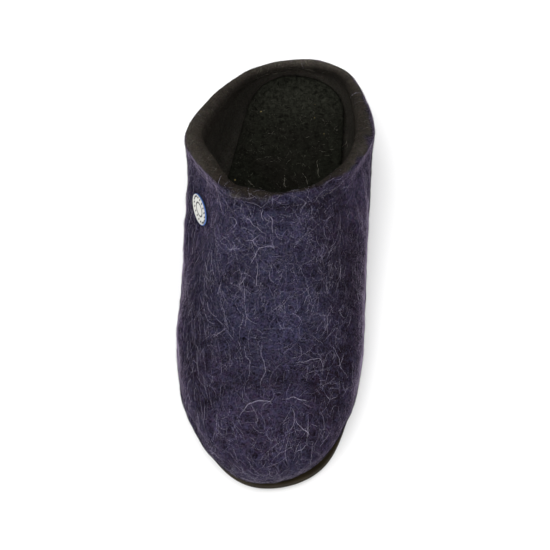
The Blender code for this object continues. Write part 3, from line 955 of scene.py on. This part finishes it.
def wet_felted_wool(name, sheen, sheen_tint):
    """Wool wet-felted over a last: navy and plum batts rubbed into one matt, hairy, mottled skin.

    The outer layer is navy from dark to pale, with soft plum blotches some 3 cm wide; how pale is partly the
    batts' dye and partly painted light and shade. The inner layer, on the rim and inside, is undyed dark
    brown-grey wool, and more even, with painted light on it. Mixed fibres give a cloudy mottle with a heather
    of hues. Tangled ones give thin curly lines and a fine bump; the lines are painted paler where the felt
    faces the lights, as painted light. Fibre ends give a soft sheen. Fibres are too fine to show, so grain and
    lines are drawn coarser.
    """
    made, tree = blank_material(name)
    spot = add(tree, "TexCoord", {}, "Object")
    lining, plum, light, deep, nap = (
        add(tree, "Attribute", {}, "Fac", attribute_name=key)
        for key in ("lining", "plum", "light", "deep", "nap"))

    # Outer layer: navy, tinted by blotches of plum
    batt = add(tree, "TexNoise", {
        "Vector": spot, "Scale": per_metre(30), "Detail": 3.0, "Distortion": 0.6}, "Fac")
    batt = add(tree, "MapRange", {
        "Value": batt, "From Min": 0.35, "From Max": 0.65, "To Min": -0.25, "To Max": 0.35})
    batt = add(tree, "Math", {0: batt, 1: plum}, operation="ADD", use_clamp=True)
    dyed = add(tree, "Mix", {SHARE: light, FIRST: colour("#16131b"), SECOND: colour("#2d2b3e")}, **COLOUR_MIX)
    tint = add(tree, "Mix", {SHARE: batt, FIRST: colour("#ffffff"), SECOND: colour("#ffe9e8")}, **COLOUR_MIX)
    dyed = add(tree, "Mix", {SHARE: 1.0, FIRST: dyed, SECOND: tint}, blend_type="MULTIPLY", **COLOUR_MIX)

    # Cloudy mottle and grain in a heather of hues, evened out on the inner layer
    mottle = add(tree, "TexNoise", {
        "Vector": spot, "Scale": per_metre(5), "Detail": 5.0, "Roughness": 0.7}, "Fac")
    grain = add(tree, "TexNoise", {
        "Vector": spot, "Scale": per_metre(0.9), "Detail": 1.0, "Roughness": 0.7}, "Fac")
    cloud = add(tree, "Math", {0: mottle, 1: 0.6, 2: grain}, operation="MULTIPLY_ADD")
    cloud = add(tree, "MapRange", {
        "Value": cloud, "From Min": 0.6, "From Max": 1.0, "To Min": 0.0, "To Max": 2.0})
    heather = add(tree, "TexNoise", {"Vector": spot, "Scale": per_metre(2.2), "Detail": 2.0}, "Color")
    heather = add(tree, "Mix", {SHARE: 0.35, FIRST: (0.5, 0.5, 0.5, 1), SECOND: heather}, **COLOUR_MIX)
    for factor in (cloud, 2.0):
        heather = add(tree, "VectorMath", {0: heather, "Scale": factor}, operation="SCALE")
    even = add(tree, "Math", {0: lining, 1: 0.6}, operation="MULTIPLY")
    heather = add(tree, "Mix", {SHARE: even, FIRST: heather, SECOND: (1, 1, 1, 1)}, **COLOUR_MIX)

    # Inner layer: undyed wool, dark and mottled, painted in one even shade deep inside, and painted light
    # from there to pale
    undyed = add(tree, "Mix", {
        SHARE: mottle, FIRST: colour("#171412"), SECOND: colour("#221f1c")}, **COLOUR_MIX)
    for share, shade in ((deep, "#21201d"), (light, "#46423d")):
        undyed = add(tree, "Mix", {SHARE: share, FIRST: undyed, SECOND: colour(shade)}, **COLOUR_MIX)
    base = add(tree, "Mix", {SHARE: lining, FIRST: dyed, SECOND: undyed}, **COLOUR_MIX)
    base = add(tree, "Mix", {SHARE: 1.0, FIRST: base, SECOND: heather}, blend_type="MULTIPLY", **COLOUR_MIX)

    # Curly lines where a swirled noise crosses a level: long loose fibres, and finer ones between them
    strands = 0.0
    for apart, detail, swirl, level, width in ((9, 2.0, 1.6, 0.5, 0.018), (3.4, 3.0, 2.2, 0.48, 0.03)):
        line = add(tree, "TexNoise", {
            "Vector": spot, "Scale": per_metre(apart), "Detail": detail, "Distortion": swirl}, "Fac")
        line = add(tree, "Math", {0: line, 1: level}, operation="SUBTRACT")
        line = add(tree, "Math", {0: line}, operation="ABSOLUTE")
        line = add(tree, "MapRange", {
            "Value": line, "From Min": 0.0, "From Max": width, "To Min": 1.0, "To Max": 0.0})
        strands = add(tree, "Math", {0: strands, 1: line}, operation="MAXIMUM")
    pale = add(tree, "Mix", {
        SHARE: lining, FIRST: colour("#4a4864"), SECOND: colour("#3b352d")}, **COLOUR_MIX)
    # Painted light: the pale lines show more where the felt faces the lights
    lit_lines = add(tree, "MapRange", {"Value": nap, "To Min": 0.12, "To Max": 0.4})
    share = add(tree, "Math", {0: strands, 1: lit_lines}, operation="MULTIPLY")
    base = add(tree, "Mix", {SHARE: share, FIRST: base, SECOND: pale}, **COLOUR_MIX)

    fuzz = add(tree, "TexNoise", {
        "Vector": spot, "Scale": per_metre(1.3), "Detail": 3.0, "Roughness": 0.7}, "Fac")
    height = add(tree, "Math", {0: strands, 1: 0.5, 2: fuzz}, operation="MULTIPLY_ADD")
    bump = add(tree, "Bump", {"Height": height, "Strength": 0.6, "Distance": 0.2 * METRE}, "Normal")
    return with_surface(made, tree, {
        "Base Color": base, **MATT, "Normal": bump,
        "Sheen Weight": sheen, "Sheen Roughness": 0.25, "Sheen Tint": colour(sheen_tint),
    })


def wool_hairs(name, dark, pale):
    """Loose wool hairs on the felt, from a dyed tone to a pale one, matt because their scales scatter."""
    made, tree = blank_material(name)
    tone = add(tree, "Attribute", {}, "Fac", attribute_name="tone")
    base = add(tree, "Mix", {SHARE: tone, FIRST: colour(dark), SECOND: colour(pale)}, **COLOUR_MIX)
    return with_surface(made, tree, {"Base Color": base, **MATT})


def pressed_felt():
    """Needled and pressed felt of mixed waste wool: dark green-grey with pale and straw-coloured specks.

    Broken fibres give a rough dark mottle in faintly greener patches, and the heel end is painted paler, as
    painted light.
    Each speck is the middle of a cell, in the share of cells that has one. All are drawn coarser than real
    fibre ends, which are too fine to show.
    """
    made, tree = blank_material("pressed_felt")
    spot = add(tree, "TexCoord", {}, "Object")
    rubbed = add(tree, "Attribute", {}, "Fac", attribute_name="rubbed")
    mottle = add(tree, "TexNoise", {
        "Vector": spot, "Scale": per_metre(2.6), "Detail": 6.0, "Roughness": 0.9, "Distortion": 0.8}, "Fac")
    tone = add(tree, "MapRange", {"Value": mottle, "From Min": 0.38, "From Max": 0.66})
    patch = add(tree, "TexNoise", {
        "Vector": spot, "Scale": per_metre(22), "Detail": 3.0, "Roughness": 0.6}, "Fac")
    patch = add(tree, "MapRange", {"Value": patch, "From Min": 0.38, "From Max": 0.62})
    green = add(tree, "Mix", {
        SHARE: patch, FIRST: colour("#1a1916"), SECOND: colour("#1e201a")}, **COLOUR_MIX)
    green = add(tree, "Mix", {SHARE: rubbed, FIRST: green, SECOND: colour("#33342d")}, **COLOUR_MIX)
    base = add(tree, "Mix", {SHARE: tone, FIRST: colour("#080806"), SECOND: green}, **COLOUR_MIX)
    for apart, without, shade, strength in ((2.6, 0.75, "#46473c", 0.3), (6.5, 0.72, "#a08f5c", 0.8)):
        cells = {"Vector": spot, "Scale": per_metre(apart)}
        chosen = add(tree, "SeparateColor", {0: add(tree, "TexVoronoi", cells, "Color")}, 0)
        chosen = add(tree, "Math", {0: chosen, 1: without}, operation="GREATER_THAN")
        speck = add(tree, "MapRange", {
            "Value": add(tree, "TexVoronoi", cells, "Distance"),
            "From Min": 0.2 / apart, "From Max": 0.55 / apart, "To Min": strength, "To Max": 0.0,
        })
        speck = add(tree, "Math", {0: speck, 1: chosen}, operation="MULTIPLY")
        base = add(tree, "Mix", {SHARE: speck, FIRST: base, SECOND: colour(shade)}, **COLOUR_MIX)
    fuzz = add(tree, "TexNoise", {
        "Vector": spot, "Scale": per_metre(1.6), "Detail": 4.0, "Roughness": 0.7}, "Fac")
    bump = add(tree, "Bump", {"Height": fuzz, "Strength": 0.8, "Distance": 0.5 * METRE}, "Normal")
    return with_surface(made, tree, {
        "Base Color": base, **MATT, "Normal": bump,
        "Sheen Weight": 0.02, "Sheen Roughness": 0.5, "Sheen Tint": colour("#a9aa98"),
    })


def sheet_rubber():
    """Microcellular rubber sheet, cut to shape: matt olive-brown with a fine even grain and a dusty look.

    Its cells are too fine to show, so the grain is drawn coarser.
    """
    made, tree = blank_material("sheet_rubber")
    spot = add(tree, "TexCoord", {}, "Object")
    grain = add(tree, "TexNoise", {
        "Vector": spot, "Scale": per_metre(0.9), "Detail": 3.0, "Roughness": 0.6}, "Fac")
    dust = add(tree, "TexNoise", {
        "Vector": spot, "Scale": per_metre(14), "Detail": 4.0, "Roughness": 0.65}, "Fac")
    dust = add(tree, "MapRange", {
        "Value": dust, "From Min": 0.4, "From Max": 0.75, "To Min": 0.0, "To Max": 0.7})
    base = add(tree, "Mix", {SHARE: dust, FIRST: colour("#1a1408"), SECOND: colour("#2b2312")}, **COLOUR_MIX)
    rough = add(tree, "MapRange", {"Value": grain, "To Min": 0.62, "To Max": 0.88})
    bump = add(tree, "Bump", {"Height": grain, "Strength": 0.5, "Distance": 0.2 * METRE}, "Normal")
    return with_surface(made, tree, {
        "Base Color": base, "Roughness": rough, "Specular IOR Level": 0.1, "Normal": bump})


def enamel(name, code, roughness):
    """Stove enamel on a pressed metal oval: even, satin and smooth, with the faintest orange-peel."""
    made, tree = blank_material(name)
    spot = add(tree, "TexCoord", {}, "Object")
    peel = add(tree, "TexNoise", {"Vector": spot, "Scale": per_metre(1.5), "Detail": 1.0}, "Fac")
    rough = add(tree, "MapRange", {"Value": peel, "To Min": roughness - 0.06, "To Max": roughness + 0.06})
    bump = add(tree, "Bump", {"Height": peel, "Strength": 0.15, "Distance": 0.1 * METRE}, "Normal")
    return with_surface(made, tree, {"Base Color": colour(code), "Roughness": rough, "Normal": bump})


def white_paper():
    """Background paper from the roll: even, nearly white, with hardly any gloss."""
    made, tree = blank_material("white_paper")
    return with_surface(made, tree, {
        "Base Color": colour("#f4f4f4"), "Roughness": 0.9, "Specular IOR Level": 0.1})


# Shape of the felt upper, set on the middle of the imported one

rings, rim_row = last_rings()
box_low, box_high = (np.array(corner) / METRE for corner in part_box("upper"))
rings_middle = (rings.min(axis=(0, 1)) + rings.max(axis=(0, 1))) / 2
MIDDLE = ((box_low + box_high) / 2 - rings_middle) * np.array([1, 1, 0])
rings = rings + MIDDLE
seat = badge_seat(rings, rim_row)
normals = grid_normals(rings)
relief = felt_relief(rings, rim_row, badge_share(rings, seat))
felt = rings + normals * relief[..., None]

# Places on the felt that its colours and its hairs follow
row_number = np.arange(len(felt))[:, None] + 0 * felt[..., 0]
rim_end = rim_row + RIM_ROWS
turn = even_angles(RIB_COUNT)
down = way_up(felt)[rim_row] - way_up(felt)
border = rim_row - 1 + sum(rows * bell(turn, middle, spread) for rows, middle, spread in BORDER_BENDS)
# Painted shade along the bottom of the trough under the collar
collar_shade_line = bell(down, COLLAR_TROUGH_DOWN, COLLAR_LINE_WIDTH) * bell(turn, np.pi, COLLAR_LINE_SPREAD)
low_edge = bell(row_number, LOW_EDGE_ROW, LOW_EDGE_ROWS) * smooth_step(-felt[..., 1], *TOE_FRONT)
rim_front = 1 - smooth_step(np.abs(turn - np.pi), *RIM_FRONT)
# How far the felt faces the lights: it paints light and shade on hairs and pale lines, and sets how thick
# hairs lie
nap = brushed(felt, normals)

# The two layers, and plum wool: some on top, more on both sides, where its darker tint is partly painted
# shade, and what the batts bring
row_with_wander = row_number + lumps(felt, EDGE_WANDER)
lining = smooth_step(row_with_wander, border - BORDER_BEFORE, border + BORDER_AFTER)
inner_side, outer_side = smooth_step(felt[..., 0], *INNER_SIDE), smooth_step(-felt[..., 0], *OUTER_SIDE)
batt_plum, batt_light = batt_wool(felt)
plum = PLUM_ON_TOP + PLUM_INNER_SIDE * inner_side + PLUM_OUTER_SIDE * outer_side + batt_plum

# How pale the outer layer is: painted shade in dips and painted highlight on lumps, painted shade on the sides
# but painted highlight on their flanks, paler where the batts' dye lies and at the low edge of the toe, and
# painted shade in the line under the collar
outer_light = (
    LIGHT_ON_TOP + LIGHT_RELIEF * np.clip(relief, *RELIEF_LIMITS)
    + LIGHT_INNER_SIDE * inner_side + LIGHT_INNER_FLANK * smooth_step(normals[..., 0], *FLANK)
    + LIGHT_OUTER_SIDE * outer_side + LIGHT_OUTER_FLANK * smooth_step(-normals[..., 0], *FLANK)
    + LIGHT_COLLAR_LINE * collar_shade_line + LIGHT_LOW_EDGE * low_edge + batt_light
)

# How pale the inner layer is, all painted light: a painted highlight at the outer edge of the rim that fades
# across it, with the batts' paleness carried onto it, and a little under it, but not at its front, where it
# stays in painted shade; deeper inside, painted light where the batts lie and on the walls of the instep and
# the heel
rim_top = felt[rim_row + RIM_ROWS // 2, :, 2]
deep = smooth_step(np.where(row_number > rim_row + RIM_ROWS / 2, rim_top - felt[..., 2], 0), *DEEP_INSIDE)
over_rim = np.clip((row_number - rim_row) / (RIM_ROWS - 1), 0, 1)
under_rim = bell(row_number, rim_end, UNDER_RIM_ROWS)
rim_light = (LIGHT_RIM + batt_light) * (1 - over_rim) ** 2 + LIGHT_UNDER_RIM * under_rim
from_heel = np.minimum(turn, 2 * np.pi - turn)
walls = bell(turn, INSTEP_WALL_TURN, INSTEP_WALL_SPREAD) + bell(from_heel, 0, HEEL_WALL_SPREAD)
walls = walls * smooth_step(row_number - rim_end, *INSIDE_WALL)
inner_light = (1 - rim_front) * rim_light + LIGHT_DEEP_BATTS * batt_light * deep + LIGHT_INSIDE_WALLS * walls
# Paleness of both layers: dye with painted light and shade on the outer one, painted light alone on the inner
# one
light = np.where(row_number < border, outer_light, inner_light)

# The felt upper: its wall, closed underneath by the felt bottom and inside by the floor
dyed_wool = wet_felted_wool("dyed_felted_wool", 0.8, "#d2c0de")
undyed_wool = wet_felted_wool("undyed_felted_wool", 0.05, "#a89f93")
sides = strip_faces(len(felt), RIB_COUNT)
faces = sides.tolist() + ladder_faces(0, RIB_COUNT)
faces += [face[::-1] for face in ladder_faces((len(felt) - 1) * RIB_COUNT, RIB_COUNT)]
inner_layer = np.zeros(len(faces), dtype=np.int32)
inner_layer[:len(sides)] = lining.ravel()[sides].mean(axis=1) > 0.5
add_piece("felt_upper", felt, faces, [dyed_wool, undyed_wool], "upper", node="upper", finish=inner_layer,
          lining=lining, plum=np.clip(plum, 0, 1), light=np.clip(light, 0, 1), deep=deep, nap=nap)

# Loose wool on the upper
lilac_hairs = wool_hairs("dyed_wool_hairs", "#1b1824", "#e2daf3")
brown_hairs = wool_hairs("undyed_wool_hairs", "#1c1814", "#c2bbae")
dyed = (row_number < border) & (row_number > LOW_ROWS / 2) & (badge_share(felt, seat) > BADGE_PRESS)
on_lining = (row_number >= border) & (row_number < rim_end + LINING_FUZZ_ROWS)
toe = felt[..., 1] < LENGTH / 2 - TOE_FUZZ_START
heel = felt[..., 1] > LENGTH / 2 - HEEL_FUZZ_END
thick = (THICK_UNLIT + (1 - THICK_UNLIT) * nap) * (1 - COLLAR_LINE_THINNING * collar_shade_line)
for key, weight, hairs in (
    ("toe", (dyed & toe) * (thick + THICK_LOW_EDGE * low_edge), lilac_hairs),
    ("vamp", (dyed & ~toe & ~heel) * thick, lilac_hairs),
    ("heel", (dyed & heel) * (THICK_HEEL + thick), lilac_hairs),
    ("rim", on_lining * (1 - RIM_FRONT_THINNING * rim_front), brown_hairs),
    ("guard", (dyed & (row_number < rim_row - GUARD_ROWS_BELOW_RIM)) * thick, lilac_hairs),
    ("side", dyed * (1 - nap), lilac_hairs),
):
    paths, up = hair_paths(FLEECE[key], felt, weight)
    clear = (badge_share(paths, seat) > HAIRS_OFF_BADGE).all(axis=1)
    add_fleece(FLEECE[key], paths[clear], up[clear], hairs, "upper")

# Hairs placed one by one, those on the vamp over the felt that faces up
vamp = felt[:rim_row][normals[:rim_row, :, 2] > VAMP_FACES_UP]
for name, lines, radius, tone, hairs in (
    ("clear_hairs", CLEAR_HAIRS, CLEAR_HAIR_RADIUS, 1.0, lilac_hairs),
    ("faint_hairs", FAINT_HAIRS, FAINT_HAIR_RADIUS, 1.0, lilac_hairs),
    ("rim_hairs", RIM_HAIRS, RIM_HAIR_RADIUS, 0.9, brown_hairs),
):
    paths = np.stack([clear_hair(line, vamp) for line in lines])
    up = np.broadcast_to([0.0, 0.0, 1.0], paths.shape)
    points, faces = spindles(paths, up, np.full(len(lines), radius))
    add_piece(name, points, faces, [hairs], "upper", tone=np.full(len(points), tone))

# The insole, with low lumps on top and its heel end curled up
insole_low = SOLE_THICK + FELT_BOTTOM + 2 * GAP
insole = slab_rings(INSOLE_INSET, insole_low, insole_low + INSOLE_THICK, INSOLE_ROUND) + MIDDLE
on_top = np.arange(len(insole))[:, None] >= SLAB_ROWS + EDGE_ROWS
insole[..., 2] += np.where(on_top, lumps(insole, INSOLE_LUMPS) - INSOLE_SINK, 0)
curled = smooth_step(insole[..., 1], LENGTH / 2 - HEEL_CURL_START, LENGTH / 2 - HEEL_CURL_END)
insole[..., 2] += HEEL_CURL * curled ** 2
# Painted light: the insole gets paler towards its heel end
rubbed = sum(share * smooth_step(insole[..., 1], low, high) for share, low, high in INSOLE_HEEL_LIGHT)
add_piece("insole_felt", insole, strip_faces(len(insole), SLAB_RIBS).tolist(), [pressed_felt()], "insole",
          node="insole", weld=True, rubbed=rubbed)

# Fuzz on the insole, over a grid from its inner edge straight across to its outer edge
half = SLAB_RIBS // 2
edge = insole[SLAB_ROWS + 2 * EDGE_ROWS - 2]
across_share = np.linspace(*INSOLE_TOP_SHARES, INSOLE_TOP_ROWS)[:, None, None]
insole_top = edge[1:half] * (1 - across_share) + edge[:half:-1] * across_share
insole_top[..., 2] += INSOLE_FUZZ_UP
back = insole_top[..., 1]
weight = (back > INSOLE_FUZZ[0]) * (back < INSOLE_FUZZ[1])
weight = weight * (THICK_INSOLE + smooth_step(back, *INSOLE_FUZZ_THICKENS))
paths, up = hair_paths(FLEECE["insole"], insole_top, weight)
up = up * np.sign(up[..., 2:])
paths[..., 2] = np.maximum(paths[..., 2], insole_top[..., 2].min())
add_fleece(FLEECE["insole"], paths, up, brown_hairs, "insole")

# The outsole
outsole = slab_rings((0.0, 0.0), 0.0, SOLE_THICK, SOLE_ROUND) + MIDDLE
add_piece("outsole_rubber", outsole, strip_faces(len(outsole), SLAB_RIBS).tolist(), [sheet_rubber()],
          "outsole", node="outsole", weld=True)

# The badge: an enamelled oval that follows the felt, and its ring of dots
share, inset, high, finish = np.array(BADGE_RINGS).T[..., None]
side_turn = even_angles(BADGE_SIDES)
length = share * (BADGE_LENGTH / 2 - inset) * np.cos(side_turn)
height = share * (BADGE_HEIGHT / 2 - inset) * np.sin(side_turn)
badge = seat.on_felt(length, height) + (GAP + high)[..., None] * seat.axis
# Dark enamel: print for the ring on the face and the dots, painted shadow on the oval's edge
dark_enamel_and_shade = enamel("dark_enamel_and_shade", "#1a1c24", 0.35)
enamels = [enamel("white_enamel", "#b4b4af", 0.4), enamel("blue_enamel", "#2a4c88", 0.4), dark_enamel_and_shade]
add_piece("badge_plate", badge, strip_faces(len(badge), BADGE_SIDES).tolist(), enamels, "badge",
          node="badge", weld=True, finish=np.repeat(finish[:-1], BADGE_SIDES).astype(np.int32))

dot_turn = even_angles(DOT_COUNT)[:, None, None]
dome_turn = even_angles(DOT_SIDES)
dome = np.linspace(0, np.pi / 2, DOT_ROWS)[:, None]
out = DOT_RADIUS * np.cos(dome)
length = (BADGE_LENGTH / 2 - DOT_INSET) * np.cos(dot_turn) + out * np.cos(dome_turn)
height = (BADGE_HEIGHT / 2 - DOT_INSET) * np.sin(dot_turn) + out * np.sin(dome_turn)
dots = seat.on_felt(length, height) + seat.axis * (GAP + DOT_FOOT + DOT_RISE * np.sin(dome))[..., None]
dot_faces = strip_faces(DOT_ROWS, DOT_SIDES) + np.arange(DOT_COUNT)[:, None, None] * DOT_ROWS * DOT_SIDES
add_piece("badge_dots", dots, dot_faces.reshape(-1, 4).tolist(), [dark_enamel_and_shade], "badge", weld=True)


# Studio

def look_from(where, at):
    """Matrix of something that stands at one point and looks at another, both in millimetres."""
    back = Vector(where) - Vector(at)
    turn = back.to_track_quat("Z", "Y").to_matrix().to_4x4()
    return Matrix.Translation(Vector(where) * METRE) @ turn


corners = [(x * FLOOR_REACH, y * FLOOR_REACH, 0) for x, y in ((-1, -1), (1, -1), (1, 1), (-1, 1))]
floor_mesh = bpy.data.meshes.new("floor")
floor_mesh.from_pydata(corners, [], [(0, 1, 2, 3)])
floor_mesh.materials.append(white_paper())
floor = bpy.data.objects.new("floor", floor_mesh)
bpy.context.collection.objects.link(floor)

for box in SOFTBOXES:
    lamp_data = bpy.data.lights.new(box.name, "AREA")
    lamp_data.size = box.size
    lamp_data.energy = box.power
    lamp = bpy.data.objects.new(box.name, lamp_data)
    lamp.matrix_world = look_from(box.where, SOFTBOX_AIM)
    bpy.context.collection.objects.link(lamp)

world = bpy.data.worlds.new("studio")
world.use_nodes = True
world.node_tree.nodes["Background"].inputs["Color"].default_value = (1, 1, 1, 1)
world.node_tree.nodes["Background"].inputs["Strength"].default_value = ROOM_STRENGTH
bpy.context.scene.world = world
bpy.context.scene.view_settings.view_transform = "Standard"

rise, round_by = np.radians(CAMERA_UP), np.radians(CAMERA_ROUND)
back = np.array([np.sin(round_by) * np.cos(rise), -np.cos(round_by) * np.cos(rise), np.sin(rise)])
camera_data = bpy.data.cameras.new("camera")
camera_data.lens = CAMERA_LENS
camera = bpy.data.objects.new("camera", camera_data)
camera.matrix_world = look_from(np.array(CAMERA_AIM) + back * CAMERA_AWAY, CAMERA_AIM)
bpy.context.collection.objects.link(camera)
bpy.context.scene.camera = camera
